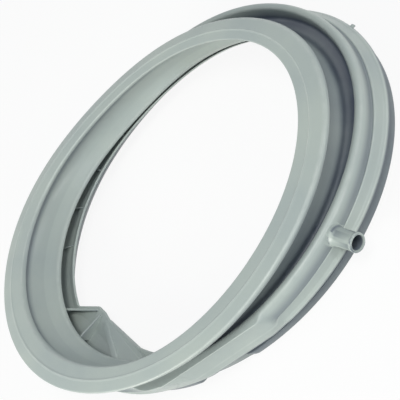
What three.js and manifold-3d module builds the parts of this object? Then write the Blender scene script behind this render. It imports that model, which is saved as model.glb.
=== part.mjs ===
// Door seal of a front-loading washing machine: one rubber moulding, in millimetres, +Z up.
// It lies on its door-side flange, with the drum-side bead on top. +Y is the top of the machine.
// Angles run round the ring from +Y towards +X, and depths run down from the ridge of the bead.
import * as THREE from "three";
import { ConvexGeometry } from "three/addons/geometries/ConvexGeometry.js";
import { mergeVertices } from "three/addons/utils/BufferGeometryUtils.js";
import Module from "manifold-3d";

const HEIGHT = 57.5; // from the bead's ridge down to the flange's rest face
const WALL = 3; // rubber wall of the bellows
const TURNS = 84; // steps round the ring
const NEAREST_STEPS = 1.2; // an even step this close in degrees to a feature's own step is left out
const LONGEST_ROUND = 0.45; // a rounded corner takes at most this share of each side
const SAME_POINT = 1e-4; // corners closer than this are one

// The bead that clamps on the drum housing
const BEAD_OUTER = 174;
const BEAD_INNER = 150;
const BEAD_RIDGE = 162;
const BEAD_RIDGE_HALF = 1.2; // half the width of the ridge between the two bands
const BEAD_BAND_DEPTH = 0.7; // the flat inner band lies this far below the ridge
const BEAD_RIM_DEPTH = 1.8; // the outer band slopes down to here
const BEAD_THICKNESS = 6.4;
const BEAD_OVERHANG = 3; // how far the bead stands inside the neck wall
const BEAD_LIP = 4.2; // thickness of that overhang
const BEAD_ROUND = 1.6;

// The neck leans towards the top of the machine, steeply at first and then less
const LEAN_DEPTH = 25;
const UPPER_LEAN = 0.8; // mm sideways for each mm down, above LEAN_DEPTH
const LOWER_LEAN = 0.5; // the same, below LEAN_DEPTH

// The neck wall
const NECK_OUTER = 160;
const NECK_FILLET = 1.1; // it widens by this much under the bead
const NECK_WAIST_DEPTH = 16;
const NECK_ROUND = 3;
const NECK_EDGE = 153.2; // inner edge, where the neck turns back under itself
const NECK_EDGE_DEPTH = 29.6;
const NECK_EDGE_HEIGHT = 6; // the wall bends inwards over this height above the edge
const NECK_EDGE_HALF = 1.6; // half the thickness of the edge
const NECK_EDGE_ROUND = 1.2;
const EDGE_DIP = 6; // at the left the edge hangs this much deeper
const EDGE_DIP_ANGLE = 280;
const EDGE_DIP_WIDTH = 25;
const EDGE_PULL = 4.5; // and it stands this much further in at the upper left
const EDGE_PULL_ANGLE = 310;
const EDGE_PULL_WIDTH = 32;

// The soft ring lies a little out of round
const SQUEEZE = 5.3; // the whole section stands this much further in at the left
const SQUEEZE_ANGLE = 282;
const SQUEEZE_WIDTH = 20;
const LEFT_BULGE = 7; // the bead and the wall under it stand out at the lower left
const LEFT_BULGE_ANGLE = 233;
const LEFT_BULGE_WIDTH = 30;
const RIGHT_BULGE = 2.8; // and less at the lower right
const RIGHT_BULGE_ANGLE = 112;
const RIGHT_BULGE_WIDTH = 18;
const BULGE_INNER_SHARE = 0.6; // share of both bulges at the bead's inner edge

// The fold outside the neck
const VALLEY_RADIUS = 160.6;
const VALLEY_ROUND = 1.6;
const CREST_RADIUS = 165;
const CREST_DEPTH = 21;
const CREST_HALF = 3.3; // half the width of the crest
const CREST_ROUND = 3.2;
const CREST_INSIDE = 1.6; // the crest's inside lies this far beyond its middle
const CREST_SPREAD = 19; // near the top of the ring the crest stands this much further out
const CREST_SPREAD_ANGLE = 352;
const CREST_SPREAD_WIDTH = 72;
const CREST_LIFT = 5; // and it stands this much higher a little to the left of that
const CREST_LIFT_ANGLE = 335;
const CREST_LIFT_WIDTH = 35;
const FOLD_FOOT = 180;
const FOLD_FOOT_DEPTH = 31.6;
const FOLD_INNER_FOOT = 164.8; // the fold's inside above the gutter

// The door-side rims
const STEP_DEPTH = 1.5; // small step between the fold's foot and the upright band
const BAND_RADIUS = 181.6;
const BAND_FLARE = 0.6; // the band's foot stands out by this much
const BAND_ROUND = 0.8;
const LIP_RADIUS = 183.8;
const LIP_DEPTH = 41.8;
const LIP_THICKNESS = 2.6;
const LIP_RISE = 1.8; // the band turns into the lip over this height
const CHANNEL_RADIUS = 169.6;
const CHANNEL_WIDTH = 5.4;
const CHANNEL_SLOPE = 0.8; // the lip's underside falls by this much towards the channel
const FLANGE_OUTER = 175.6;
const FLANGE_INNER = 165;
const FLANGE_ROUND = 1.2;

// The inner lip that the door glass meets, and the gutter behind it
const DOOR_LIP = 149.7;
const DOOR_LIP_DEPTH = 38.6;
const DOOR_LIP_EDGE = 2; // thickness at the edge
const DOOR_LIP_ROUND = 0.7;
const GUTTER_INNER = 157;
const GUTTER_DEPTH = 42;

// The lobe: the lip runs straight across the bottom and steps back at a shelf
const LOBE_START = 154; // angle at which the straight stretch begins
const LOBE_TIP = new THREE.Vector2(-16.5, -130.2);
const LOBE_REACH = 18; // how far the lobe stands into the opening
const LOBE_CREASE = 149; // the lip's slope ends at this radius behind the lobe
const NARROW_RIB_ROOT = new THREE.Vector2(-7, -132.8); // the ribs start just behind the tip
const WIDE_RIB_ROOT = new THREE.Vector2(1.5, -133.4);
const SHELF_START = new THREE.Vector2(-13.6, -132.4);
const SHELF_END = new THREE.Vector2(-41, -143.2);
const SHELF_WALL_END = new THREE.Vector2(-50.5, -151.7); // the shelf's wall runs on to the gutter
const LOBE_RIB = 2.4; // thickness of the narrow ribs
const LOBE_WIDE_RIB = 4.8;
const LOBE_RIB_DEPTH = 32; // top of the ribs at the neck
const LOBE_RIB_DROP = 6; // ribs are this much lower at the lobe than at the neck
const LOBE_FLOOR_DEPTH = 42.6; // ribs and ramp reach down into the lip
const NARROW_RIB_ANGLE = 181.6;
const WIDE_RIB_ANGLE = 158;
const RAMP_LEAD = 6; // the ramp starts this many degrees ahead of the straight stretch
const RAMP_HEIGHT = 2; // how far it stands above the lip at its low end
const RAMP_SINK = 1.6; // it lies this far below the ribs' tops

// Small cross ribs in the gutter
const RIB_PITCH = 15;
const RIB_THICKNESS = 2;
const RIB_LOW = 1; // height at the inner end
const RIB_HIGH = 5; // height against the band
const RIB_LENGTH = 14;
const RIB_SINK = 1.5; // they reach this far into the gutter's floor

// The shoulder beside the spout, where the lip and the flange are cut back
const SHOULDER_FROM = 103;
const SHOULDER_TO = 127;
const SHOULDER_RAMP_IN = 3.5; // degrees over which it starts
const SHOULDER_RAMP_OUT = 1.75;
const SHOULDER_RADIUS = 175;
const SHOULDER_DEPTH = 24;
const RELIEF_RADIUS = 177;
const RELIEF_DRAFT = 0.8; // the cut-back wall leans in by this much at its top
const FLANGE_RELIEF = 169.8;
const FLANGE_CUT_FROM = 119; // the flange is cut back over a shorter stretch
const FLANGE_CUT_TO = 127;
const FLANGE_RAMP = 5;

// The spout
const SPOUT_ANGLE = 79;
const SPOUT_DEPTH = 32;
const SPOUT_ROOT = 172.5; // the tube starts here, inside the wall
const SPOUT_REACH = 200.5;
const SPOUT_OUTER = 7.4;
const SPOUT_BORE = 5.2;
const SPOUT_BORE_START = 167.5;
const SPOUT_RIM = 0.5; // raised rim at the mouth
const SPOUT_RIM_LENGTH = 3;
const SPOUT_SIDES = 28;

// The locating nub at the top
const NUB_ANGLE = 10.5;
const NUB_WIDTH = 4;
const NUB_HEIGHT = 3.4;
const NUB_SINK = 2; // it starts this far inside the lip's edge
const NUB_DRAFT = 0.3;

const COLOUR = 0xa9b3ac;

const wasm = await Module();
wasm.setup();

// Sideways shift of the ring's middle at a depth.
function lean(depth) {
  const upper = Math.min(depth, LEAN_DEPTH);
  return UPPER_LEAN * upper + LOWER_LEAN * (depth - upper);
}

// Point across and up the ring, seen from the bead's side, at a radius and an angle in degrees.
function flatPoint(radius, angle) {
  const a = THREE.MathUtils.degToRad(angle);
  return new THREE.Vector2(radius * Math.sin(a), radius * Math.cos(a));
}

// The same point put at a depth.
function sink(flat, depth) {
  return new THREE.Vector3(flat.x, lean(depth) + flat.y, HEIGHT - depth);
}

function angleOf(flat) {
  return (THREE.MathUtils.radToDeg(Math.atan2(flat.x, flat.y)) + 360) % 360;
}

// 1 at an angle, fading to 0 on both sides of it.
function bump(angle, at, width) {
  const off = THREE.MathUtils.euclideanModulo(angle - at + 180, 360) - 180;
  return Math.exp(-((off / width) ** 2) / 2);
}

// How far a point of the section at an angle stands outside its place in a round ring.
function outOfRound(angle, radius, depth) {
  const left = LEFT_BULGE * bump(angle, LEFT_BULGE_ANGLE, LEFT_BULGE_WIDTH);
  const right = RIGHT_BULGE * bump(angle, RIGHT_BULGE_ANGLE, RIGHT_BULGE_WIDTH);
  const across = THREE.MathUtils.smoothstep(radius, BEAD_INNER, BEAD_OUTER);
  const share = THREE.MathUtils.lerp(BULGE_INNER_SHARE, 1, across);
  const fade = 1 - THREE.MathUtils.smoothstep(depth, BEAD_THICKNESS, NECK_EDGE_DEPTH);
  return (left + right) * share * fade - SQUEEZE * bump(angle, SQUEEZE_ANGLE, SQUEEZE_WIDTH);
}

const STRAIGHT_START = flatPoint(DOOR_LIP, LOBE_START);
const TIP_ANGLE = angleOf(LOBE_TIP);
const SHELF_ANGLE = angleOf(SHELF_END);

// Radius at which a ray from the middle crosses the line through p and q.
function radiusOnLine(angle, p, q) {
  const along = q.clone().sub(p);
  return p.cross(along) / flatPoint(1, angle).cross(along);
}

// Radius of the door-side inner lip, with the lobe's straight stretch and shelf.
function doorLipRadius(angle) {
  if (angle <= LOBE_START || angle >= SHELF_ANGLE) return DOOR_LIP;
  if (angle <= TIP_ANGLE) return radiusOnLine(angle, STRAIGHT_START, LOBE_TIP);
  return Math.min(DOOR_LIP, radiusOnLine(angle, LOBE_TIP, SHELF_END));
}

// 1 between two angles and 0 elsewhere, with a ramp outside each of them.
function between(angle, from, to, rampIn, rampOut) {
  const rise = THREE.MathUtils.smoothstep(angle, from - rampIn, from);
  return rise * (1 - THREE.MathUtils.smoothstep(angle, to, to + rampOut));
}

// A corner of the ring's section. A rounded one becomes a curve of that many points.
function corner(radius, depth, round = 0, points = 1) {
  return { at: new THREE.Vector2(radius, depth), round, points };
}

// The fold's and the neck edge's places at an angle.
function foldShape(angle) {
  const spread = bump(angle, CREST_SPREAD_ANGLE, CREST_SPREAD_WIDTH);
  return {
    spread,
    open: CREST_SPREAD * spread,
    crestDepth: CREST_DEPTH - CREST_LIFT * bump(angle, CREST_LIFT_ANGLE, CREST_LIFT_WIDTH),
    edge: NECK_EDGE - EDGE_PULL * bump(angle, EDGE_PULL_ANGLE, EDGE_PULL_WIDTH),
    edgeDepth: NECK_EDGE_DEPTH + EDGE_DIP * bump(angle, EDGE_DIP_ANGLE, EDGE_DIP_WIDTH),
  };
}

// Drum side: the bead's face and edges, then the neck's outside down to the valley.
function drumSide({ open, edgeDepth }) {
  return [
    corner(BEAD_RIDGE - BEAD_RIDGE_HALF, BEAD_BAND_DEPTH),
    corner(BEAD_RIDGE, 0),
    corner(BEAD_RIDGE + BEAD_RIDGE_HALF, BEAD_BAND_DEPTH),
    corner(BEAD_OUTER, BEAD_RIM_DEPTH, BEAD_ROUND, 2),
    corner(BEAD_OUTER, BEAD_THICKNESS, BEAD_ROUND, 2),
    corner(NECK_OUTER + NECK_FILLET, BEAD_THICKNESS + NECK_FILLET),
    corner(NECK_OUTER, NECK_WAIST_DEPTH),
    corner(VALLEY_RADIUS, edgeDepth, VALLEY_ROUND, 2),
    corner(VALLEY_RADIUS + open / 2, edgeDepth, VALLEY_ROUND, 2),
  ];
}

// Outside: over the fold's crest, down to the upright band, the thin lip, the channel and the flange.
function outside({ open, crestDepth }, mix, flangeOuter) {
  const lipBottom = LIP_DEPTH + LIP_THICKNESS;
  const channelTop = lipBottom + CHANNEL_SLOPE;
  const bandTop = FOLD_FOOT_DEPTH + STEP_DEPTH;
  const crestOuter = CREST_RADIUS + CREST_HALF + open;
  return [
    corner(CREST_RADIUS - CREST_HALF + open, crestDepth, CREST_ROUND, 3),
    corner(mix(crestOuter, SHOULDER_RADIUS), mix(crestDepth, SHOULDER_DEPTH), CREST_ROUND, 2),
    corner(mix(FOLD_FOOT, RELIEF_RADIUS - RELIEF_DRAFT), FOLD_FOOT_DEPTH),
    corner(mix(FOLD_FOOT, RELIEF_RADIUS - RELIEF_DRAFT), bandTop),
    corner(mix(BAND_RADIUS, RELIEF_RADIUS - RELIEF_DRAFT / 2), bandTop, BAND_ROUND, 2),
    corner(mix(BAND_RADIUS + BAND_FLARE, RELIEF_RADIUS), LIP_DEPTH - LIP_RISE),
    corner(mix(LIP_RADIUS, RELIEF_RADIUS), LIP_DEPTH, BAND_ROUND, 2),
    corner(mix(LIP_RADIUS, RELIEF_RADIUS), lipBottom),
    corner(CHANNEL_RADIUS, channelTop),
    corner(CHANNEL_RADIUS, channelTop + CHANNEL_WIDTH),
    corner(flangeOuter, channelTop + CHANNEL_WIDTH),
    corner(flangeOuter, HEIGHT, FLANGE_ROUND, 2),
  ];
}

// Door side: the rest flange, the underside of the inner lip, its edge, and the gutter up to the band.
function doorSide(edge, wallInside) {
  const crease = THREE.MathUtils.lerp(GUTTER_INNER, LOBE_CREASE, (DOOR_LIP - edge) / LOBE_REACH);
  return [
    corner(FLANGE_INNER, HEIGHT),
    corner(FLANGE_INNER, GUTTER_DEPTH + WALL),
    corner(crease, GUTTER_DEPTH + WALL),
    corner(edge, DOOR_LIP_DEPTH + DOOR_LIP_EDGE, DOOR_LIP_ROUND, 2),
    corner(edge, DOOR_LIP_DEPTH, DOOR_LIP_ROUND, 2),
    corner(crease, GUTTER_DEPTH),
    corner(wallInside - WALL, GUTTER_DEPTH),
    corner(wallInside, FOLD_FOOT_DEPTH + WALL, BAND_ROUND, 2),
  ];
}

// Inside: under the fold to the neck's inner edge, and up the neck's inside to the bead.
function inside({ spread, open, crestDepth, edge, edgeDepth }) {
  const crestInside = THREE.MathUtils.lerp(CREST_INSIDE, -CREST_INSIDE, spread);
  return [
    corner(CREST_RADIUS + crestInside + open, crestDepth + WALL, CREST_ROUND, 3),
    corner(FOLD_INNER_FOOT + open / 2, edgeDepth + NECK_EDGE_HALF),
    corner(VALLEY_RADIUS, edgeDepth + WALL),
    corner(edge, edgeDepth + NECK_EDGE_HALF, NECK_EDGE_ROUND, 2),
    corner(edge, edgeDepth - NECK_EDGE_HALF, NECK_EDGE_ROUND, 2),
    corner(edge + WALL, edgeDepth - NECK_EDGE_HEIGHT),
    corner(NECK_OUTER - WALL, NECK_WAIST_DEPTH, NECK_ROUND, 2),
    corner(BEAD_INNER + BEAD_OVERHANG + NECK_EDGE_HALF, BEAD_THICKNESS),
    corner(BEAD_INNER + BEAD_OVERHANG, BEAD_LIP),
    corner(BEAD_INNER, BEAD_LIP),
    corner(BEAD_INNER, BEAD_BAND_DEPTH, BEAD_ROUND, 2),
  ];
}

// Corners of the whole section at an angle.
function sectionCorners(angle) {
  const fold = foldShape(angle);
  const cut = between(angle, SHOULDER_FROM, SHOULDER_TO, SHOULDER_RAMP_IN, SHOULDER_RAMP_OUT);
  const flangeCut = between(angle, FLANGE_CUT_FROM, FLANGE_CUT_TO, FLANGE_RAMP, FLANGE_RAMP);
  const mix = (plain, shoulder) => THREE.MathUtils.lerp(plain, shoulder, cut);
  const flangeOuter = THREE.MathUtils.lerp(FLANGE_OUTER, FLANGE_RELIEF, flangeCut);
  const rims = doorSide(doorLipRadius(angle), mix(BAND_RADIUS, RELIEF_RADIUS) - WALL);
  const corners = [...drumSide(fold), ...outside(fold, mix, flangeOuter), ...rims, ...inside(fold)];
  for (const { at } of corners) at.x += outOfRound(angle, at.x, at.y);
  return corners;
}

// The section's outline: each rounded corner is a short quadratic curve between its two sides.
function outline(corners) {
  const loop = [];
  corners.forEach(({ at, round, points }, i) => {
    if (points < 2) {
      loop.push(at);
      return;
    }
    const before = corners.at(i - 1).at;
    const after = corners[(i + 1) % corners.length].at;
    const start = at.clone().lerp(before, Math.min(LONGEST_ROUND, round / at.distanceTo(before)));
    const end = at.clone().lerp(after, Math.min(LONGEST_ROUND, round / at.distanceTo(after)));
    loop.push(...new THREE.QuadraticBezierCurve(start, at, end).getPoints(points - 1));
  });
  return loop;
}

// Angles of the sections: even steps, with more where the lobe and the shoulder turn sharply.
function sectionAngles() {
  const even = Array.from({ length: TURNS }, (_, i) => (i * 360) / TURNS);
  const lobe = [LOBE_START, TIP_ANGLE, TIP_ANGLE + NEAREST_STEPS * 2, SHELF_ANGLE];
  const shoulderStart = [SHOULDER_FROM - SHOULDER_RAMP_IN, SHOULDER_FROM];
  const shoulderEnd = [SHOULDER_TO, SHOULDER_TO + SHOULDER_RAMP_OUT];
  const own = [...lobe, ...shoulderStart, ...shoulderEnd];
  const apart = even.filter((angle) => own.every((other) => Math.abs(angle - other) > NEAREST_STEPS));
  return [...apart, ...own].sort((a, b) => a - b);
}

// Closed ring through sections that all have the same number of points.
function ringGeometry(sections) {
  const count = sections[0].length;
  const positions = sections.flat().flatMap((p) => p.toArray());
  const index = [];
  sections.forEach((_, i) => {
    const here = i * count;
    const next = ((i + 1) % sections.length) * count;
    for (let j = 0; j < count; j++) {
      const k = (j + 1) % count;
      index.push(here + j, next + k, here + k, here + j, next + j, next + k);
    }
  });
  const geometry = new THREE.BufferGeometry();
  geometry.setAttribute("position", new THREE.Float32BufferAttribute(positions, 3));
  geometry.setIndex(index);
  return geometry;
}

function toSolid(geometry) {
  const bare = geometry.clone();
  bare.deleteAttribute("normal");
  bare.deleteAttribute("uv");
  const merged = mergeVertices(bare, SAME_POINT);
  const vertProperties = merged.getAttribute("position").array;
  const triVerts = new Uint32Array(merged.index.array);
  return new wasm.Manifold(new wasm.Mesh({ numProp: 3, vertProperties, triVerts }));
}

function toGeometry(solid) {
  const mesh = solid.getMesh();
  const geometry = new THREE.BufferGeometry();
  geometry.setAttribute("position", new THREE.BufferAttribute(mesh.vertProperties, 3));
  geometry.setIndex(new THREE.BufferAttribute(mesh.triVerts, 1));
  return geometry;
}

function hull(points) {
  return toSolid(new ConvexGeometry(points));
}

// Upright plate between two flat points, with its own top depth at each end.
function plate(from, to, thickness, topFrom, topTo, bottom) {
  const side = to.clone().sub(from).normalize().rotateAround(new THREE.Vector2(), Math.PI / 2);
  const corners = [];
  for (const sign of [-1, 1]) {
    const step = side.clone().multiplyScalar((sign * thickness) / 2);
    const start = from.clone().add(step);
    const end = to.clone().add(step);
    corners.push(sink(start, topFrom), sink(start, bottom), sink(end, topTo), sink(end, bottom));
  }
  return hull(corners);
}

function crossRibs() {
  const ribs = [];
  const floor = GUTTER_DEPTH + RIB_SINK;
  for (let angle = 0; angle < 360; angle += RIB_PITCH) {
    const inLobe = angle > LOBE_START - RIB_PITCH && angle < SHELF_ANGLE + RIB_PITCH;
    const atSpout = Math.abs(angle - SPOUT_ANGLE) < RIB_PITCH / 2;
    if (inLobe || atSpout) continue;
    const start = GUTTER_INNER + outOfRound(angle, GUTTER_INNER, GUTTER_DEPTH);
    const inner = flatPoint(start, angle);
    const outer = flatPoint(start + RIB_LENGTH, angle);
    ribs.push(plate(inner, outer, RIB_THICKNESS, GUTTER_DEPTH - RIB_LOW, GUTTER_DEPTH - RIB_HIGH, floor));
  }
  return ribs;
}

// Two ribs and the shelf wall meet at the lobe's tip, and a ramp fills the long side.
function lobeParts() {
  const tipTop = LOBE_RIB_DEPTH + LOBE_RIB_DROP;
  const narrowEnd = flatPoint(GUTTER_INNER + LOBE_RIB, NARROW_RIB_ANGLE);
  const wideEnd = flatPoint(GUTTER_INNER + LOBE_RIB, WIDE_RIB_ANGLE);
  const rampNeck = flatPoint(GUTTER_INNER + LOBE_RIB, LOBE_START - RAMP_LEAD);
  return [
    plate(SHELF_START, SHELF_WALL_END, LOBE_RIB, tipTop, LOBE_RIB_DEPTH, LOBE_FLOOR_DEPTH),
    plate(NARROW_RIB_ROOT, narrowEnd, LOBE_RIB, tipTop, LOBE_RIB_DEPTH, LOBE_FLOOR_DEPTH),
    plate(WIDE_RIB_ROOT, wideEnd, LOBE_WIDE_RIB, tipTop, LOBE_RIB_DEPTH, LOBE_FLOOR_DEPTH),
    hull([
      sink(WIDE_RIB_ROOT, tipTop + RAMP_SINK),
      sink(WIDE_RIB_ROOT, LOBE_FLOOR_DEPTH),
      sink(STRAIGHT_START, DOOR_LIP_DEPTH - RAMP_HEIGHT),
      sink(STRAIGHT_START, LOBE_FLOOR_DEPTH),
      sink(rampNeck, LOBE_RIB_DEPTH + RAMP_SINK),
      sink(rampNeck, LOBE_FLOOR_DEPTH),
      sink(wideEnd, LOBE_RIB_DEPTH + RAMP_SINK),
      sink(wideEnd, LOBE_FLOOR_DEPTH),
    ]),
  ];
}

// A round piece along the spout's axis, from pairs of radius and distance from the ring's middle.
function alongSpout(profile) {
  const toward = sink(flatPoint(1, SPOUT_ANGLE), SPOUT_DEPTH).sub(sink(new THREE.Vector2(), SPOUT_DEPTH));
  const turn = new THREE.Quaternion().setFromUnitVectors(new THREE.Vector3(0, 1, 0), toward);
  const points = profile.map(([radius, reach]) => new THREE.Vector2(radius, reach));
  const geometry = new THREE.LatheGeometry(points, SPOUT_SIDES).applyQuaternion(turn);
  const middle = sink(new THREE.Vector2(), SPOUT_DEPTH);
  return toSolid(geometry.translate(middle.x, middle.y, middle.z));
}

function spoutTube() {
  return alongSpout([
    [0, SPOUT_ROOT],
    [SPOUT_OUTER, SPOUT_ROOT],
    [SPOUT_OUTER, SPOUT_REACH - SPOUT_RIM_LENGTH],
    [SPOUT_OUTER + SPOUT_RIM, SPOUT_REACH - SPOUT_RIM_LENGTH + SPOUT_RIM],
    [SPOUT_OUTER + SPOUT_RIM, SPOUT_REACH - SPOUT_RIM],
    [SPOUT_OUTER, SPOUT_REACH],
    [0, SPOUT_REACH],
  ]);
}

function spoutBore() {
  return alongSpout([
    [0, SPOUT_BORE_START],
    [SPOUT_BORE, SPOUT_BORE_START],
    [SPOUT_BORE, SPOUT_REACH + 1],
    [0, SPOUT_REACH + 1],
  ]);
}

function nub() {
  const from = flatPoint(LIP_RADIUS - NUB_SINK, NUB_ANGLE);
  const to = flatPoint(LIP_RADIUS + NUB_HEIGHT, NUB_ANGLE);
  return plate(from, to, NUB_WIDTH, LIP_DEPTH, LIP_DEPTH + NUB_DRAFT, LIP_DEPTH + LIP_THICKNESS - NUB_DRAFT);
}

function sealSolid() {
  const sections = sectionAngles().map((angle) =>
    outline(sectionCorners(angle)).map((p) => sink(flatPoint(p.x, angle), p.y)),
  );
  const pieces = [...crossRibs(), ...lobeParts(), spoutTube(), nub()];
  const whole = pieces.reduce((solid, piece) => solid.add(piece), toSolid(ringGeometry(sections)));
  return whole.subtract(spoutBore());
}

const rubber = new THREE.MeshStandardMaterial({ color: COLOUR, roughness: 0.45, metalness: 0 });
const doorSeal = new THREE.Mesh(toGeometry(sealSolid()), rubber);
doorSeal.name = "door_seal";

// The origin is on the rest face, in the middle of the seal's outer size.
const box = new THREE.Box3().setFromObject(doorSeal);
const middle = box.getCenter(new THREE.Vector3());
doorSeal.position.set(-middle.x, -middle.y, -box.min.z);

const seal = new THREE.Group();
seal.add(doorSeal);

export default seal;
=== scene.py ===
"""Visible model of a washing machine's door seal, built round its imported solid.

Lengths inside the functions are in millimetres, and every finished mesh is in metres.
Angles run round the ring from +Y towards +X, and depths run down from the ridge of the bead.
"""

import math
from types import SimpleNamespace

import bmesh
import bpy
import numpy as np
from bpy.props import FloatProperty, FloatVectorProperty, IntProperty, PointerProperty
from mathutils import Matrix, Vector


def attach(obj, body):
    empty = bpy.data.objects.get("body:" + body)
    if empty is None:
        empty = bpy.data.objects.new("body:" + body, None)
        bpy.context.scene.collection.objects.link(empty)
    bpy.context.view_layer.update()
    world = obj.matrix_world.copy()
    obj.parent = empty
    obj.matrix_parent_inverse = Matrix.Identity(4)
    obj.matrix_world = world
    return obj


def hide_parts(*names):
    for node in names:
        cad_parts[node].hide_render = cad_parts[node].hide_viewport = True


bl_info = {
    "name": "Washing machine door seal",
    "version": (1, 0, 0),
    "blender": (4, 5, 0),
    "location": "View3D > Sidebar > Door Seal",
    "description": "Builds the rubber door seal, its material and its stage",
    "category": "Add Mesh",
}

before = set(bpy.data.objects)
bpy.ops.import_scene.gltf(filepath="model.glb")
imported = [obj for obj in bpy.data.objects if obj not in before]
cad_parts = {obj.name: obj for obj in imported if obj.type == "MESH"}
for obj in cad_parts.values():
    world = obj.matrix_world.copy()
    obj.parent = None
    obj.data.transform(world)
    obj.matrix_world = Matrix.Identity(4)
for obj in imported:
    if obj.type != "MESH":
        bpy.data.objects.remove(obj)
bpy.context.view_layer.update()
MM = 0.001

# Middle of the bead's ring in the row frame, and the height of its ridge
RING_X = -9.368
RING_Y = -20.614
HEIGHT = 57.5

# The neck leans towards +Y, steeply at first and then less
LEAN_DEPTH = 25.0
LEAN_BLEND = 5.0
UPPER_LEAN = 0.8
LOWER_LEAN = 0.5

# Depths down the section
BAND_DEPTH = 0.7
BEAD_RIM_DEPTH = 1.8
BEAD_THICKNESS = 6.4
NECK_EDGE_DEPTH = 29.6
CREST_DEPTH = 21.0
FOLD_FOOT_DEPTH = 31.6
STEP_DEPTH = 33.1
LIP_DEPTH = 41.8
LIP_BOTTOM = 44.4
CHANNEL_TOP = 45.2
CHANNEL_BOTTOM = 50.6
DOOR_LIP_DEPTH = 38.6
DOOR_LIP_EDGE = 2.0
GUTTER_DEPTH = 42.0
SPOUT_DEPTH = 32.0

# Angles of the spout and the nub
SPOUT_ANGLE = 79.0
NUB_ANGLE = 10.5

# Where the ring is out of round: the middle angle of each swell and its spread
LEFT_BULGE_AT = (233.0, 30.0)
RIGHT_BULGE_AT = (112.0, 18.0)
SQUEEZE_AT = (282.0, 20.0)
BULGE_INNER_SHARE = 0.6

# Where the section changes round the ring: how far, the middle angle and the spread
CREST_SPREAD_AT = (352.0, 72.0)
CREST_SWELL = (1.8, 333.0, 16.0)
CREST_LIFT = (5.0, 335.0, 35.0)
EDGE_PULL = (4.5, 310.0, 32.0)
EDGE_DIP = (6.0, 280.0, 25.0)
LIP_DIP = (3.0, 118.0, 32.0)
BEAD_INNER_SWELLS = ((2.2, 8.0, 20.0), (2.4, 132.0, 14.0), (-1.2, 80.0, 20.0))
DOOR_LIP_SWELLS = ((2.4, 322.0, 14.0), (2.0, 346.0, 12.0))
FLANGE_SWELLS = ((3.2, 142.0, 9.0), (2.2, 160.0, 9.0))

# Corners inside the wall that have no other name
VALLEY_STEP = 0.6
CREST_HALF = 3.3
CREST_INSIDE = 1.6
VALLEY_BACK = 164.8
EDGE_HALF = 1.6

# The lobe: angles along its long edge with their shares of the lip's radius,
# and its corners across and up the ring
LOBE_ANGLES = (142.0, 154.0, 165.0, 174.0, 182.0, 187.2)
LOBE_SHARES = (1.0, 0.959, 0.918, 0.890, 0.870, 0.877)
LOBE_TIP = Vector((-16.5, -130.2))
SHELF_END = Vector((-41.0, -143.2))
LOBE_CREASE = 149.0
LOBE_REACH = 18.0
LOBE_SOFTNESS = 3.0

# The ribs and the ramp behind the lobe: where they end, and the depths of their tops
SHELF_WALL = (Vector((-14.4, -133.0)), Vector((-50.5, -151.7)))
NARROW_RIB_ROOT = Vector((-7.0, -133.6))
NARROW_RIB_ANGLE = 181.6
WIDE_RIB_ROOT = Vector((4.0, -135.6))
WIDE_RIB_ANGLE = 158.0
RAMP_ANGLE = 146.0
RAMP_EDGE = ((Vector((4.5, -133.2)), 38.6), (Vector((35.6, -134.2)), 38.6), (Vector((62.6, -130.9)), 38.5))
RIB_LOW = 38.0
RIB_HIGH = 32.0
RIB_FOOT = 42.6
RIB_REACH = 2.4
RAMP_DROP = 1.6
LOBE_SPAN = (139.0, 212.0)

# The shoulder beside the spout: a flat from the fold's crest down to the lip
SHOULDER_FROM = 104.5
SHOULDER_TO = 138.0
SHOULDER_RAMPS = (3.0, 12.0)
SHOULDER_MIDDLE = 117.0
SHOULDER_FLAT = 173.0
SHOULDER_DEPTH = 22.0
SHOULDER_SLOPE = 0.24
SHOULDER_LIMIT = 180.2
SHOULDER_BAND_TOP = 36.5
FLANGE_RELIEF = 169.8
FLANGE_RELIEF_AT = (121.0, 131.0, 4.0, 4.0)

# The thin mould line across the wall beyond the shoulder
SEAM_ANGLE = 129.0
SEAM_TURN = 0.45
SEAM_TOP = 24.0
SEAM_DEPTH = 0.3
SEAM_WIDTH = 0.16
SEAM_INSIDE = 170.0
SEAM_SPAN = (21.0, 41.0)

# Angles between which the ring has finer steps: the mould line, the shoulder's start and the lobe's tip
SEAM_STEPS = (128.5, 137.5, 0.16)
TURN_STEPS = ((100.5, 105.5, 0.45), (176.0, 200.0, 0.45))

# The nub, and the small ribs across the gutter
NUB_WIDTH = 4.0
NUB_SINK = 2.0
NUB_HEIGHT = 2.6
RIB_ROOT = 1.0
RIB_LENGTH = 14.0
RIB_TOE = 1.0
RIB_RISE = 5.0

# The spout's root inside the wall and the start of its bore, from the ring's middle
SPOUT_ROOT = 172.5
BORE_START = 167.5

PIECE = "rubber_seal"

# The stage: each lamp has a name, a direction, a distance, a width, a power and a colour
LAMPS = (
    ("top", (0.46, 0.05, 0.88), 2.2, 0.9, 18.0, (1.0, 1.0, 0.96)),
    ("low", (0.2, -0.88, 0.43), 2.2, 0.9, 35.0, (1.0, 0.99, 0.92)),
    ("key", (0.32, 0.94, 0.35), 2.2, 1.0, 6.0, (1.0, 1.0, 1.0)),
    ("front", (0.85, 0.45, 0.3), 2.4, 0.5, 12.0, (1.0, 1.0, 0.98)),
)
WORLD_STRENGTH = 0.30
WORLD_TINT = (0.80, 0.90, 1.0)
FLOOR_SHADE = 0.8
FLOOR_GLOW = 0.9

# The camera's right, up and back axes, its place in metres and its lens
CAMERA_AXES = ((0.4840, 0.5892, -0.6470), (-0.3529, 0.8080, 0.4718), (0.8007, 0.0, 0.5990))
CAMERA_PLACE = (0.7132, 0.0007, 0.5512)
SENSOR_WIDTH = 36.0
LENS = 95.6


def length(name, description, default):
    return FloatProperty(
        name=name, description=description, default=default, min=0.0, unit="LENGTH", precision=4
    )


def paint(name, description, default):
    return FloatVectorProperty(
        name=name, description=description, default=default, subtype="COLOR", min=0.0, max=1.0
    )


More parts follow.
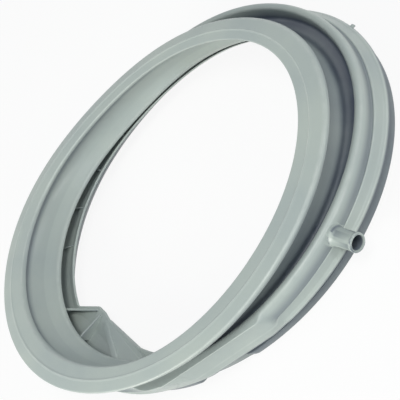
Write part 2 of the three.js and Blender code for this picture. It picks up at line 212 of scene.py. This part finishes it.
class SealSizes(bpy.types.PropertyGroup):
    """Sizes of the moulding."""

    wall: length("Wall", "Thickness of the bellows' wall", 0.003)
    bead_outer: length("Bead outer radius", "Outer edge of the drum-side bead", 0.17355)
    bead_inner: length("Bead inner radius", "Inner edge of the drum-side bead", 0.150)
    bead_ridge: length("Bead ridge radius", "Thin ridge between the bead's two bands", 0.162)
    neck_outer: length("Neck radius", "Outside of the neck under the bead", 0.160)
    neck_edge: length("Neck edge radius", "Inner edge where the neck turns back", 0.1532)
    crest: length("Fold crest radius", "Middle of the fold's crest where it is smallest", 0.165)
    crest_spread: length("Crest spread", "How much further out the crest stands near the top", 0.019)
    fold_foot: length("Fold foot radius", "Groove below the fold", 0.1792)
    lip: length("Lip radius", "Thin lip round the outside", 0.1837)
    channel: length("Channel radius", "Bottom of the channel for the panel's rim", 0.1696)
    flange_outer: length("Flange outer radius", "Outer edge of the rest flange", 0.1756)
    flange_inner: length("Flange inner radius", "Inner edge of the rest flange", 0.1738)
    flange_neck: length("Flange neck radius", "Inside of the wall that carries the flange", 0.1668)
    door_lip: length("Door lip radius", "Inner lip that the door glass meets", 0.1497)
    gutter: length("Gutter radius", "Crease between the door lip and the gutter", 0.157)
    squeeze: length("Squeeze", "How far the soft ring is pressed in at its left side", 0.0053)
    left_bulge: length("Left bulge", "How far the bead stands out at the lower left", 0.007)
    right_bulge: length("Right bulge", "How far the bead stands out at the lower right", 0.0028)
    rib_thickness: length("Rib thickness", "Small cross ribs in the gutter", 0.0018)
    lobe_rib: length("Lobe rib thickness", "Narrow ribs behind the lobe", 0.0024)
    wide_rib: length("Wide rib thickness", "Wide rib behind the lobe", 0.005)
    spout_outer: length("Spout radius", "Outside of the spout", 0.0070)
    spout_bore: length("Spout bore radius", "Hole through the spout", 0.0054)
    spout_reach: length("Spout reach", "From the ring's middle to the spout's mouth", 0.2005)
    rib_count: IntProperty(
        name="Rib places", description="Even places round the gutter for cross ribs", default=24, min=3
    )
    ring_steps: IntProperty(name="Ring steps", description="Even steps round the ring", default=360, min=24)


class SealColours(bpy.types.PropertyGroup):
    """Colours of the rubber and its stage."""

    rubber: paint("Rubber", "Main colour of the rubber", (0.40, 0.45, 0.42))
    rubber_shade: paint("Rubber shade", "Second tone of the mottling", (0.35, 0.40, 0.39))
    # Dark navy painted into the valley, groove, channel, flange and bore where shade falls: painted shade.
    painted_shade: paint("Painted shade", "Painted shade in the hollows", (0.055, 0.07, 0.11))
    # Pale colour painted on ridges and edges: partly a rubbed film, partly a painted highlight.
    bloom_and_highlight: paint("Bloom and highlight", "Pale film and painted highlight on rubbed edges", (0.56, 0.60, 0.57))
    stage: paint("Stage", "Floor and background", (1.0, 1.0, 1.0))


def millimetres(sizes):
    """The lengths of a property group in millimetres, and its counts as they are."""
    values = {}
    for name in sizes.__annotations__:
        value = getattr(sizes, name)
        values[name] = value if isinstance(value, int) else value / MM
    return SimpleNamespace(**values)


def lean(depth):
    """Sideways shift of the ring's middle at a depth, with a soft bend between the two slopes."""
    depth = np.asarray(depth, float)
    t = np.clip((depth - LEAN_DEPTH + LEAN_BLEND) / (2 * LEAN_BLEND), 0.0, 1.0)
    bend = (LOWER_LEAN - UPPER_LEAN) * LEAN_BLEND * t * t
    beyond = (LOWER_LEAN - UPPER_LEAN) * np.maximum(depth - LEAN_DEPTH - LEAN_BLEND, 0.0)
    return UPPER_LEAN * depth + bend + beyond


def place(x, y, depth):
    """Points across and up the ring at a depth, in the row frame."""
    depth = np.asarray(depth, float) * np.ones_like(x)
    return np.stack([RING_X + x, RING_Y + y + lean(depth), HEIGHT - depth], axis=-1)


def flat_point(radius, angle):
    a = math.radians(angle)
    return Vector((radius * math.sin(a), radius * math.cos(a)))


def smoothstep(value, low, high):
    t = np.clip((value - low) / (high - low), 0.0, 1.0)
    return t * t * (3 - 2 * t)


def bump(angle, at, width):
    """1 at an angle, fading to 0 on both sides of it."""
    off = (angle - at + 180.0) % 360.0 - 180.0
    return np.exp(-((off / width) ** 2) / 2)


def swell(angle, *forms):
    """Sum of forms that each give how far, the middle angle and the spread."""
    return sum(far * bump(angle, at, width) for far, at, width in forms)


def between(angle, start, end, ramp_in, ramp_out):
    """1 between two angles and 0 elsewhere, with a ramp outside each of them."""
    return smoothstep(angle, start - ramp_in, start) * (1 - smoothstep(angle, end, end + ramp_out))


def out_of_round(s, angle, radius, depth):
    """How far points of the section at an angle stand outside their place in a round ring."""
    bulge = swell(angle, (s.left_bulge, *LEFT_BULGE_AT), (s.right_bulge, *RIGHT_BULGE_AT))
    share = BULGE_INNER_SHARE + (1 - BULGE_INNER_SHARE) * smoothstep(radius, s.bead_inner, s.bead_outer)
    fade = 1 - smoothstep(depth, BEAD_THICKNESS, NECK_EDGE_DEPTH)
    return bulge * share * fade - swell(angle, (s.squeeze, *SQUEEZE_AT))


def seam(angle, radius, depth):
    """Depth of the thin mould line that crosses the wall beyond the shoulder."""
    on_wall = (radius > SEAM_INSIDE) & (depth > SEAM_SPAN[0]) & (depth < SEAM_SPAN[1])
    line = bump(angle, SEAM_ANGLE + SEAM_TURN * (depth - SEAM_TOP), SEAM_WIDTH)
    return np.where(on_wall, SEAM_DEPTH * line, 0.0)


def lip_radius(s, angle):
    return s.lip - swell(angle, LIP_DIP)


def flat_radius(angle, depth):
    """Radius of the shoulder's flat at an angle and a depth."""
    turn = math.radians(np.clip(angle - SHOULDER_MIDDLE, -45.0, 45.0))
    flat = SHOULDER_FLAT + SHOULDER_SLOPE * (depth - SHOULDER_DEPTH)
    return min(flat / math.cos(turn), SHOULDER_LIMIT)


def radius_on_line(angles, start, end):
    """Radius at which rays from the middle cross the line through two flat points."""
    along = end - start
    a = np.radians(angles)
    cross = np.sin(a) * along.y - np.cos(a) * along.x
    return (start.x * along.y - start.y * along.x) / np.where(np.abs(cross) < 1e-6, 1e-6, cross)


def door_lip_radius(s):
    """The inner lip's radius at each quarter degree, with the lobe's long edge and shelf softened."""
    angles = np.arange(0.0, 360.0, 0.25)
    tip_angle = math.degrees(math.atan2(LOBE_TIP.x, LOBE_TIP.y)) % 360
    end_angle = math.degrees(math.atan2(SHELF_END.x, SHELF_END.y)) % 360
    radius = np.full_like(angles, s.door_lip)
    long_edge = (angles > LOBE_ANGLES[0]) & (angles <= tip_angle)
    radius[long_edge] = s.door_lip * np.interp(angles[long_edge], LOBE_ANGLES, LOBE_SHARES)
    shelf = (angles > tip_angle) & (angles < end_angle)
    radius[shelf] = np.minimum(s.door_lip, radius_on_line(angles[shelf], LOBE_TIP, SHELF_END))
    reach = np.arange(-8, 9)
    weights = np.exp(-((reach / LOBE_SOFTNESS) ** 2))
    soft = sum(np.roll(radius, k) * w for k, w in zip(reach, weights)) / weights.sum()
    return angles, soft


def section_corners(s, angle, edge):
    """Corners of the ring's section at an angle.

    Each is radius, depth, rounding, rub for the pale film with painted highlight on ridges and edges, and
    painted shade, a dark paint in the hollows where shade falls.
    """
    spread = bump(angle, *CREST_SPREAD_AT)
    valley = s.neck_outer + VALLEY_STEP
    crest = s.crest + s.crest_spread * spread + swell(angle, CREST_SWELL)
    crest_out = (crest - s.crest) / 2
    crest_depth = CREST_DEPTH - swell(angle, CREST_LIFT)
    bead_in = s.bead_inner + swell(angle, *BEAD_INNER_SWELLS)
    neck_edge = s.neck_edge - swell(angle, EDGE_PULL)
    neck_depth = NECK_EDGE_DEPTH + swell(angle, EDGE_DIP)
    lip = lip_radius(s, angle)
    flange = s.flange_outer + swell(angle, *FLANGE_SWELLS)
    flange += (FLANGE_RELIEF - flange) * between(angle, *FLANGE_RELIEF_AT)
    crease = s.gutter + (LOBE_CREASE - s.gutter) * (s.door_lip - edge) / LOBE_REACH
    edge += swell(angle, *DOOR_LIP_SWELLS)
    cut = between(angle, SHOULDER_FROM, SHOULDER_TO, *SHOULDER_RAMPS)

    def mix(plain, shoulder):
        return plain + (shoulder - plain) * cut

    def outer(plain, depth):
        return mix(plain, flat_radius(angle, depth))

    wall = s.wall
    crest_foot = mix(crest_depth, SHOULDER_DEPTH)
    band_top = mix(STEP_DEPTH - 0.3, SHOULDER_BAND_TOP)
    band_in = outer(s.fold_foot, FOLD_FOOT_DEPTH) - wall
    # The last two numbers of each corner are the pale colour on edges, partly painted highlight, and the
    # dark painted shade in the hollows.
    return [
        (s.bead_ridge - 1.3, BAND_DEPTH, 0.6, 0.2, 0.0),
        (s.bead_ridge, 0.0, 0.7, 1.0, 0.0),
        (s.bead_ridge + 1.3, BAND_DEPTH * 0.8, 0.6, 0.2, 0.0),
        (s.bead_outer, BEAD_RIM_DEPTH, 2.2, 0.9, 0.0),
        (s.bead_outer, BEAD_THICKNESS, 1.6, 0.5, 0.3),
        (s.neck_outer + 1.1, BEAD_THICKNESS + 1.1, 2.4, 0.0, 0.8),
        (s.neck_outer, 16.0, 9.0, 0.0, 0.45),
        (valley, neck_depth, 3.0, 0.0, 0.9),
        (valley + crest_out + 0.4, neck_depth, 3.0, 0.0, 1.0),
        (crest - CREST_HALF, crest_depth, 4.6, 0.9, 0.0),
        (outer(crest + CREST_HALF, SHOULDER_DEPTH), crest_foot, mix(4.6, 1.0), 0.6, 0.0),
        (outer(s.fold_foot, FOLD_FOOT_DEPTH), FOLD_FOOT_DEPTH, 1.2, 0.0, mix(0.6, 0.0)),
        (outer(s.fold_foot + 0.1, STEP_DEPTH), STEP_DEPTH, 0.6, 0.0, mix(0.6, 0.0)),
        (outer(lip - 2.2, band_top), band_top, 1.1, 1.0, 0.0),
        (outer(lip - 1.6, LIP_DEPTH - 1.8), LIP_DEPTH - 1.8, 1.0, 0.2, 0.0),
        (outer(lip, LIP_DEPTH), LIP_DEPTH, 0.9, 0.9, 0.0),
        (outer(lip, LIP_DEPTH), LIP_BOTTOM, 0.9, 0.3, 0.7),
        (s.channel, CHANNEL_TOP, 0.8, 0.0, 1.0),
        (s.channel, CHANNEL_BOTTOM, 0.8, 0.0, 1.0),
        (flange, CHANNEL_BOTTOM, 0.9, 0.2, 0.8),
        (flange, HEIGHT, 1.2, 0.2, 0.65),
        (s.flange_inner, HEIGHT, 1.2, 0.2, 0.5),
        (s.flange_neck, CHANNEL_BOTTOM + 1.0, 2.0, 0.0, 0.5),
        (s.flange_neck, GUTTER_DEPTH + wall, 1.2, 0.0, 0.5),
        (crease, GUTTER_DEPTH + wall, 1.5, 0.0, 0.3),
        (edge, DOOR_LIP_DEPTH + DOOR_LIP_EDGE, 0.9, 0.6, 0.0),
        (edge, DOOR_LIP_DEPTH, 0.9, 1.0, 0.0),
        (crease, GUTTER_DEPTH, 0.8, 0.0, 0.0),
        (band_in - wall, GUTTER_DEPTH, 2.0, 0.0, 0.0),
        (band_in, FOLD_FOOT_DEPTH + wall, 2.4, 0.0, 0.3),
        (crest + CREST_INSIDE * (1 - 2 * spread), crest_depth + wall, 3.2, 0.0, 1.0),
        (VALLEY_BACK + crest_out, neck_depth + EDGE_HALF, 1.6, 0.0, 1.0),
        (valley, neck_depth + wall, 1.2, 0.0, 0.8),
        (neck_edge, neck_depth + EDGE_HALF, 1.6, 0.6, 0.0),
        (neck_edge, neck_depth - EDGE_HALF, 1.6, 1.0, 0.0),
        (neck_edge + wall * 0.9, neck_depth - 6.0, 4.5, 0.1, 0.0),
        (s.neck_outer - wall, 16.0, 8.0, 0.0, 0.1),
        (bead_in + 4.6, BEAD_THICKNESS, 1.6, 0.0, 0.6),
        (bead_in + 3.0, 4.2, 0.8, 0.0, 0.6),
        (bead_in, 4.2, 0.9, 0.4, 0.2),
        (bead_in, BAND_DEPTH, 1.8, 0.9, 0.0),
    ]


def curve_points(corners):
    """How many points each corner's curve gets: more where it is rounder."""
    return [2 + int(round(min(rounding, 5.0) * 1.4)) for _, _, rounding, _, _ in corners]


def rounded_outline(corners, counts):
    """The section as points of radius, depth, rub with painted highlight, and painted shade, with a short
    curve at each corner.
    """
    at = np.array([c[:2] for c in corners])
    before = np.roll(at, 1, axis=0)
    after = np.roll(at, -1, axis=0)
    loop = []
    for i, (_, _, rounding, rub_and_highlight, painted_shade) in enumerate(corners):
        share_in = min(0.46, rounding / max(np.linalg.norm(before[i] - at[i]), 1e-6))
        share_out = min(0.46, rounding / max(np.linalg.norm(after[i] - at[i]), 1e-6))
        start = at[i] + (before[i] - at[i]) * share_in
        end = at[i] + (after[i] - at[i]) * share_out
        for t in np.linspace(0.0, 1.0, counts[i]):
            point = (1 - t) ** 2 * start + 2 * t * (1 - t) * at[i] + t * t * end
            loop.append((point[0], point[1], rub_and_highlight * (1 - abs(2 * t - 1)), painted_shade))
    return np.array(loop)


def ring_angles(s):
    """Even steps, with finer ones at the mould line, the shoulder and the lobe."""
    even = np.arange(s.ring_steps) * 360.0 / s.ring_steps
    fine = [np.arange(*steps) for steps in (SEAM_STEPS, *TURN_STEPS)]
    keep = [a for a in even if not any(f[0] - 0.3 < a < f[-1] + 0.3 for f in fine)]
    return np.sort(np.concatenate([keep, *fine]))


def ring_mesh(s):
    """The bellows as one closed loft, with the rub and painted highlight and the painted shade at each
    point.
    """
    table_angles, table_radii = door_lip_radius(s)
    angles = ring_angles(s)
    edges = np.interp(angles, table_angles, table_radii)
    counts = curve_points(section_corners(s, 0.0, s.door_lip))
    rings = [rounded_outline(section_corners(s, angle, edge), counts) for angle, edge in zip(angles, edges)]
    loops = np.stack(rings)
    a = np.radians(angles)[:, None]
    depth = loops[..., 1]
    radius = loops[..., 0] + out_of_round(s, angles[:, None], loops[..., 0], depth)
    radius -= seam(angles[:, None], loops[..., 0], depth)
    points = place(radius * np.sin(a), radius * np.cos(a), depth)
    turns, count = radius.shape
    here = np.arange(turns)[:, None] * count
    following = (np.arange(turns)[:, None] + 1) % turns * count
    j = np.arange(count)[None, :]
    k = (j + 1) % count
    faces = np.stack([here + j, following + j, following + k, here + k], axis=-1).reshape(-1, 4)
    mesh = bpy.data.meshes.new("ring")
    mesh.from_pydata((points.reshape(-1, 3) * MM).tolist(), [], faces.tolist())
    mesh.update()
    for name, column in (("rub_and_highlight", 2), ("painted_shade", 3)):
        values = loops[..., column].reshape(-1).astype(np.float32)
        mesh.attributes.new(name, "FLOAT", "POINT").data.foreach_set("value", values)
    return mesh


def hull_mesh(name, points, rounding, segments=3):
    """Convex block through points in millimetres, with rounded edges."""
    bm = bmesh.new()
    for p in points:
        bm.verts.new(Vector(p) * MM)
    bmesh.ops.convex_hull(bm, input=bm.verts)
    loose = [v for v in bm.verts if not v.link_faces]
    bmesh.ops.delete(bm, geom=loose, context="VERTS")
    bmesh.ops.dissolve_limit(bm, angle_limit=math.radians(1.0), verts=bm.verts, edges=bm.edges)
    bmesh.ops.bevel(
        bm,
        geom=bm.edges[:],
        offset=rounding * MM,
        segments=segments,
        profile=0.5,
        affect="EDGES",
        clamp_overlap=True,
    )
    bmesh.ops.recalc_face_normals(bm, faces=bm.faces)
    mesh = bpy.data.meshes.new(name)
    bm.to_mesh(mesh)
    bm.free()
    return mesh


def plate_mesh(name, start, end, thickness, top_start, top_end, bottom, rounding):
    """Upright plate between two flat points, with its own top depth at each end."""
    side = (end - start).normalized().orthogonal() * (thickness / 2)
    points = []
    for sign in (-1, 1):
        for at, top in ((start, top_start), (end, top_end)):
            p = at + side * sign
            points.append(place(p.x, p.y, top))
            points.append(place(p.x, p.y, bottom))
    return hull_mesh(name, points, rounding)


def cross_rib_meshes(s):
    """Small ribs at even places round the gutter, left out behind the lobe and the spout."""
    pitch = 360.0 / s.rib_count
    meshes = []
    for i in range(s.rib_count):
        angle = i * pitch
        if LOBE_SPAN[0] < angle < LOBE_SPAN[1] or abs(angle - SPOUT_ANGLE) < pitch / 2:
            continue
        start = s.gutter + float(out_of_round(s, angle, s.gutter, GUTTER_DEPTH))
        ends = flat_point(start - RIB_ROOT, angle), flat_point(start + RIB_LENGTH, angle)
        tops = GUTTER_DEPTH - RIB_TOE, GUTTER_DEPTH - RIB_RISE
        meshes.append(plate_mesh("cross_rib", *ends, s.rib_thickness, *tops, GUTTER_DEPTH + 1.5, 0.45))
    return meshes


def lobe_meshes(s):
    """The shelf's wall and the two ribs, which meet at the lobe's tip, and the ramp beside them."""
    reach = s.gutter + RIB_REACH
    narrow_end = flat_point(reach, NARROW_RIB_ANGLE)
    wide_end = flat_point(reach, WIDE_RIB_ANGLE)
    ramp_neck = flat_point(reach, RAMP_ANGLE)
    ramp = []
    for at, top in (*RAMP_EDGE, (ramp_neck, RIB_HIGH + RAMP_DROP), (wide_end, RIB_HIGH + RAMP_DROP)):
        ramp.append(place(at.x, at.y, top))
        ramp.append(place(at.x, at.y, RIB_FOOT))
    tops = RIB_LOW, RIB_HIGH, RIB_FOOT
    return [
        plate_mesh("shelf_wall", *SHELF_WALL, s.lobe_rib, *tops, 0.6),
        plate_mesh("narrow_rib", NARROW_RIB_ROOT, narrow_end, s.lobe_rib, *tops, 0.6),
        plate_mesh("wide_rib", WIDE_RIB_ROOT, wide_end, s.wide_rib, *tops, 0.7),
        hull_mesh("ramp", ramp, 0.3),
    ]


def lathe_mesh(name, profile, sides=64):
    """A round closed piece along the spout's axis, from radii and distances from the ring's middle."""
    axis = flat_point(1.0, SPOUT_ANGLE).to_3d()
    across = Vector((-axis.y, axis.x, 0.0))
    upward = Vector((0.0, 0.0, 1.0))
    origin = Vector(place(0.0, 0.0, SPOUT_DEPTH))
    bm = bmesh.new()
    rings = []
    for radius, reach in profile:
        if radius == 0:
            rings.append([bm.verts.new((origin + axis * reach) * MM)])
            continue
        ring = []
        for i in range(sides):
            t = 2 * math.pi * i / sides
            out = (across * math.cos(t) + upward * math.sin(t)) * radius
            ring.append(bm.verts.new((origin + axis * reach + out) * MM))
        rings.append(ring)
    for a, b in zip(rings, rings[1:]):
        for i in range(sides):
            n = (i + 1) % sides
            corners = [a[i % len(a)], a[n % len(a)], b[n % len(b)], b[i % len(b)]]
            bm.faces.new(list(dict.fromkeys(corners)))
    bmesh.ops.recalc_face_normals(bm, faces=bm.faces)
    mesh = bpy.data.meshes.new(name)
    bm.to_mesh(mesh)
    bm.free()
    return mesh


def spout_profile(s):
    r, reach = s.spout_outer, s.spout_reach
    return [
        (0.0, SPOUT_ROOT),
        (r + 1.6, SPOUT_ROOT),
        (r + 1.6, 178.6),
        (r + 0.9, 180.2),
        (r + 0.3, 181.6),
        (r, 183.4),
        (r, reach - 3.2),
        (r + 0.15, reach - 2.8),
        (r + 0.45, reach - 2.3),
        (r + 0.5, reach - 1.2),
        (r + 0.4, reach - 0.5),
        (r + 0.1, reach - 0.1),
        (r - 0.3, reach),
        (0.0, reach),
    ]


def bore_profile(s):
    r, reach = s.spout_bore, s.spout_reach
    return [
        (0.0, BORE_START),
        (r, BORE_START),
        (r, reach - 1.6),
        (r + 0.25, reach - 0.7),
        (r + 0.6, reach + 0.2),
        (r + 0.6, reach + 1.0),
        (0.0, reach + 1.0),
    ]


def paint_bore_shade(s, mesh):
    """Full painted shade on the points of the spout's bore, where the deep hole is in shade."""
    flat = np.empty(len(mesh.vertices) * 3, np.float32)
    mesh.vertices.foreach_get("co", flat)
    points = flat.reshape(-1, 3) / MM - place(0.0, 0.0, SPOUT_DEPTH)
    axis = flat_point(1.0, SPOUT_ANGLE)
    along = points[:, 0] * axis.x + points[:, 1] * axis.y
    away = np.hypot(points[:, 0] * axis.y - points[:, 1] * axis.x, points[:, 2])
    painted_shade = mesh.attributes["painted_shade"].data
    values = np.empty(len(mesh.vertices), np.float32)
    painted_shade.foreach_get("value", values)
    # The bore is painted fully dark, as painted shade for the deep hole.
    values[(away < s.spout_bore + 0.1) & (along > s.neck_outer)] = 1.0
    painted_shade.foreach_set("value", values)


def nub_mesh(s):
    lip = float(lip_radius(s, NUB_ANGLE))
    start, end = flat_point(lip - NUB_SINK, NUB_ANGLE), flat_point(lip + NUB_HEIGHT, NUB_ANGLE)
    return plate_mesh("nub", start, end, NUB_WIDTH, LIP_DEPTH, LIP_DEPTH + 0.3, LIP_BOTTOM - 0.3, 0.6)


def new_object(mesh):
    made = bpy.data.objects.new(mesh.name, mesh)
    bpy.context.scene.collection.objects.link(made)
    return made


def joined_mesh(meshes):
    """Meshes that don't touch each other as one."""
    bm = bmesh.new()
    for mesh in meshes:
        bm.from_mesh(mesh)
    joined = bpy.data.meshes.new("joined")
    bm.to_mesh(joined)
    bm.free()
    return joined


def merge(ring, additions, cutter):
    """Joins the added forms to the ring one by one, cuts the bore, and returns one mesh."""
    helpers = []
    for operation, meshes in (("UNION", additions), ("DIFFERENCE", [cutter])):
        for mesh in meshes:
            helpers.append(new_object(mesh))
            modifier = ring.modifiers.new(mesh.name, "BOOLEAN")
            modifier.operation = operation
            modifier.solver = "EXACT"
            modifier.object = helpers[-1]
    evaluated = ring.evaluated_get(bpy.context.evaluated_depsgraph_get())
    mesh = bpy.data.meshes.new_from_object(evaluated)
    ring.modifiers.clear()
    ring.data = mesh
    for helper in helpers:
        bpy.data.objects.remove(helper)
    return mesh


def add_node(tree, kind, **values):
    node = tree.nodes.new(kind)
    for name, value in values.items():
        if name in node.inputs:
            node.inputs[name].default_value = value
        else:
            setattr(node, name, value)
    return node


def rubber_material(colours):
    """Satin moulded rubber: soft mottling, pale film and painted highlight on rubbed edges, painted shade in
    the hollows, fine grain.
    """
    material = bpy.data.materials.new("moulded_rubber")
    material.use_nodes = True
    tree = material.node_tree
    shader = tree.nodes["Principled BSDF"]
    where = add_node(tree, "ShaderNodeTexCoord").outputs["Object"]

    def noise(scale, detail, roughness=0.5):
        node = add_node(tree, "ShaderNodeTexNoise", Scale=scale, Detail=detail, Roughness=roughness)
        tree.links.new(where, node.inputs["Vector"])
        return node.outputs["Fac"]

    def spread(value, low, high, to_low, to_high):
        node = add_node(tree, "ShaderNodeMapRange")
        for name, number in (("From Min", low), ("From Max", high), ("To Min", to_low), ("To Max", to_high)):
            node.inputs[name].default_value = number
        tree.links.new(value, node.inputs["Value"])
        return node.outputs["Result"]

    mottle = add_node(tree, "ShaderNodeMix", data_type="RGBA")
    mottle.inputs["A"].default_value = (*colours.rubber, 1)
    mottle.inputs["B"].default_value = (*colours.rubber_shade, 1)
    tree.links.new(spread(noise(14.0, 3.0), 0.35, 0.65, 0.0, 1.0), mottle.inputs["Factor"])

    # Pale colour on ridges and edges, partly a rubbed film and partly a painted highlight.
    rub_and_highlight = add_node(tree, "ShaderNodeAttribute", attribute_name="rub_and_highlight").outputs["Fac"]
    film = add_node(tree, "ShaderNodeMath", operation="MULTIPLY")
    tree.links.new(rub_and_highlight, film.inputs[0])
    tree.links.new(spread(noise(90.0, 4.0), 0.3, 0.7, 0.15, 0.6), film.inputs[1])
    bloom_and_highlight = add_node(tree, "ShaderNodeMix", data_type="RGBA")
    bloom_and_highlight.inputs["B"].default_value = (*colours.bloom_and_highlight, 1)
    tree.links.new(mottle.outputs["Result"], bloom_and_highlight.inputs["A"])
    tree.links.new(film.outputs["Value"], bloom_and_highlight.inputs["Factor"])
    # Painted shade: the hollows are mixed towards the dark navy colour.
    painted_shade = add_node(tree, "ShaderNodeAttribute", attribute_name="painted_shade").outputs["Fac"]
    painted_shade_share = add_node(tree, "ShaderNodeMath", operation="MULTIPLY")
    tree.links.new(painted_shade, painted_shade_share.inputs[0])
    tree.links.new(spread(noise(25.0, 3.0), 0.3, 0.7, 0.8, 0.96), painted_shade_share.inputs[1])
    painted_shade_mix = add_node(tree, "ShaderNodeMix", data_type="RGBA")
    painted_shade_mix.inputs["B"].default_value = (*colours.painted_shade, 1)
    tree.links.new(bloom_and_highlight.outputs["Result"], painted_shade_mix.inputs["A"])
    tree.links.new(painted_shade_share.outputs["Value"], painted_shade_mix.inputs["Factor"])
    tree.links.new(painted_shade_mix.outputs["Result"], shader.inputs["Base Color"])

    tree.links.new(spread(noise(60.0, 5.0), 0.3, 0.7, 0.33, 0.43), shader.inputs["Roughness"])
    grain = add_node(tree, "ShaderNodeBump", Strength=0.12, Distance=0.0004)
    tree.links.new(noise(1100.0, 2.0), grain.inputs["Height"])
    waves = add_node(tree, "ShaderNodeBump", Strength=0.10, Distance=0.002)
    tree.links.new(noise(55.0, 2.0), waves.inputs["Height"])
    tree.links.new(grain.outputs["Normal"], waves.inputs["Normal"])
    tree.links.new(waves.outputs["Normal"], shader.inputs["Normal"])
    return material


class SEAL_OT_moulding(bpy.types.Operator):
    """Build the whole rubber moulding"""

    bl_idname = "door_seal.moulding"
    bl_label = "Rubber moulding"

    def execute(self, context):
        s = millimetres(context.scene.seal_sizes)
        ring = new_object(ring_mesh(s))
        ring.name = PIECE
        apart = joined_mesh([*cross_rib_meshes(s), lathe_mesh("spout", spout_profile(s)), nub_mesh(s)])
        additions = [apart, *lobe_meshes(s)]
        mesh = merge(ring, additions, lathe_mesh("bore", bore_profile(s)))
        paint_bore_shade(s, mesh)
        mesh.materials.clear()
        mesh.materials.append(rubber_material(context.scene.seal_colours))
        mesh.polygons.foreach_set("use_smooth", [True] * len(mesh.polygons))
        mesh.set_sharp_from_angle(angle=math.radians(38))
        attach(ring, "root")
        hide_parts("door_seal")
        return {"FINISHED"}


def camera_rays(tree):
    """1 for what the camera sees directly, by reflection or through glass."""
    path = add_node(tree, "ShaderNodeLightPath")
    value = path.outputs["Is Camera Ray"]
    for name in ("Is Glossy Ray", "Is Transmission Ray"):
        larger = add_node(tree, "ShaderNodeMath", operation="MAXIMUM")
        tree.links.new(value, larger.inputs[0])
        tree.links.new(path.outputs[name], larger.inputs[1])
        value = larger.outputs["Value"]
    return value


def stage_floor(colour):
    bpy.ops.mesh.primitive_plane_add(size=12.0, location=(0.0, 0.0, 0.0))
    floor = bpy.context.object
    floor.name = "floor"
    material = bpy.data.materials.new("floor_paint")
    material.use_nodes = True
    tree = material.node_tree
    tree.nodes.remove(tree.nodes["Principled BSDF"])
    matt = add_node(tree, "ShaderNodeBsdfDiffuse")
    matt.inputs["Color"].default_value = (*[c * FLOOR_SHADE for c in colour], 1)
    bright = add_node(tree, "ShaderNodeEmission", Strength=1.0)
    bright.inputs["Color"].default_value = (*colour, 1)
    share = add_node(tree, "ShaderNodeMath", operation="MULTIPLY")
    share.inputs[1].default_value = FLOOR_GLOW
    blend = add_node(tree, "ShaderNodeMixShader")
    tree.links.new(camera_rays(tree), share.inputs[0])
    tree.links.new(share.outputs["Value"], blend.inputs[0])
    tree.links.new(matt.outputs[0], blend.inputs[1])
    tree.links.new(bright.outputs[0], blend.inputs[2])
    tree.links.new(blend.outputs[0], tree.nodes["Material Output"].inputs["Surface"])
    floor.data.materials.append(material)


def stage_world(colour, strength):
    world = bpy.data.worlds.new("studio")
    bpy.context.scene.world = world
    world.use_nodes = True
    tree = world.node_tree
    lit = tree.nodes["Background"]
    lit.inputs["Color"].default_value = (*WORLD_TINT, 1)
    lit.inputs["Strength"].default_value = strength
    seen = add_node(tree, "ShaderNodeBackground", Strength=1.0)
    seen.inputs["Color"].default_value = (*colour, 1)
    blend = add_node(tree, "ShaderNodeMixShader")
    tree.links.new(camera_rays(tree), blend.inputs[0])
    tree.links.new(lit.outputs[0], blend.inputs[1])
    tree.links.new(seen.outputs[0], blend.inputs[2])
    tree.links.new(blend.outputs[0], tree.nodes["World Output"].inputs["Surface"])


def soft_box(name, direction, distance, width, power, colour):
    data = bpy.data.lights.new(name, "AREA")
    data.shape = "DISK"
    data.size = width
    data.energy = power
    data.color = colour
    lamp = bpy.data.objects.new(name, data)
    bpy.context.scene.collection.objects.link(lamp)
    toward = Vector(direction).normalized()
    lamp.location = toward * distance
    lamp.rotation_euler = toward.to_track_quat("Z", "Y").to_euler()


class SEAL_OT_stage(bpy.types.Operator):
    """Set the floor, the studio light and the camera"""

    bl_idname = "door_seal.stage"
    bl_label = "Stage"

    def execute(self, context):
        colour = tuple(context.scene.seal_colours.stage)
        stage_floor(colour)
        stage_world(colour, WORLD_STRENGTH)
        for lamp in LAMPS:
            soft_box(*lamp)
        data = bpy.data.cameras.new("view")
        data.sensor_width = SENSOR_WIDTH
        data.lens = LENS
        camera = bpy.data.objects.new("view", data)
        context.scene.collection.objects.link(camera)
        turn = Matrix(CAMERA_AXES).transposed().to_4x4()
        camera.matrix_world = Matrix.Translation(CAMERA_PLACE) @ turn
        context.scene.camera = camera
        context.scene.view_settings.view_transform = "Standard"
        return {"FINISHED"}


class SEAL_PT_sidebar(bpy.types.Panel):
    bl_idname = "SEAL_PT_sidebar"
    bl_label = "Door Seal"
    bl_space_type = "VIEW_3D"
    bl_region_type = "UI"
    bl_category = "Door Seal"

    def draw(self, context):
        layout = self.layout
        for operator in OPERATORS:
            layout.operator(operator.bl_idname)
        for group in (context.scene.seal_sizes, context.scene.seal_colours):
            column = layout.column()
            for name in group.__annotations__:
                column.prop(group, name)


OPERATORS = (SEAL_OT_moulding, SEAL_OT_stage)
CLASSES = (SealSizes, SealColours, *OPERATORS, SEAL_PT_sidebar)


def register():
    for cls in CLASSES:
        bpy.utils.register_class(cls)
    bpy.types.Scene.seal_sizes = PointerProperty(type=SealSizes)
    bpy.types.Scene.seal_colours = PointerProperty(type=SealColours)


def unregister():
    del bpy.types.Scene.seal_colours
    del bpy.types.Scene.seal_sizes
    for cls in reversed(CLASSES):
        bpy.utils.unregister_class(cls)


def main():
    register()
    bpy.ops.door_seal.moulding()
    bpy.ops.door_seal.stage()


if __name__ == "__main__":
    main()
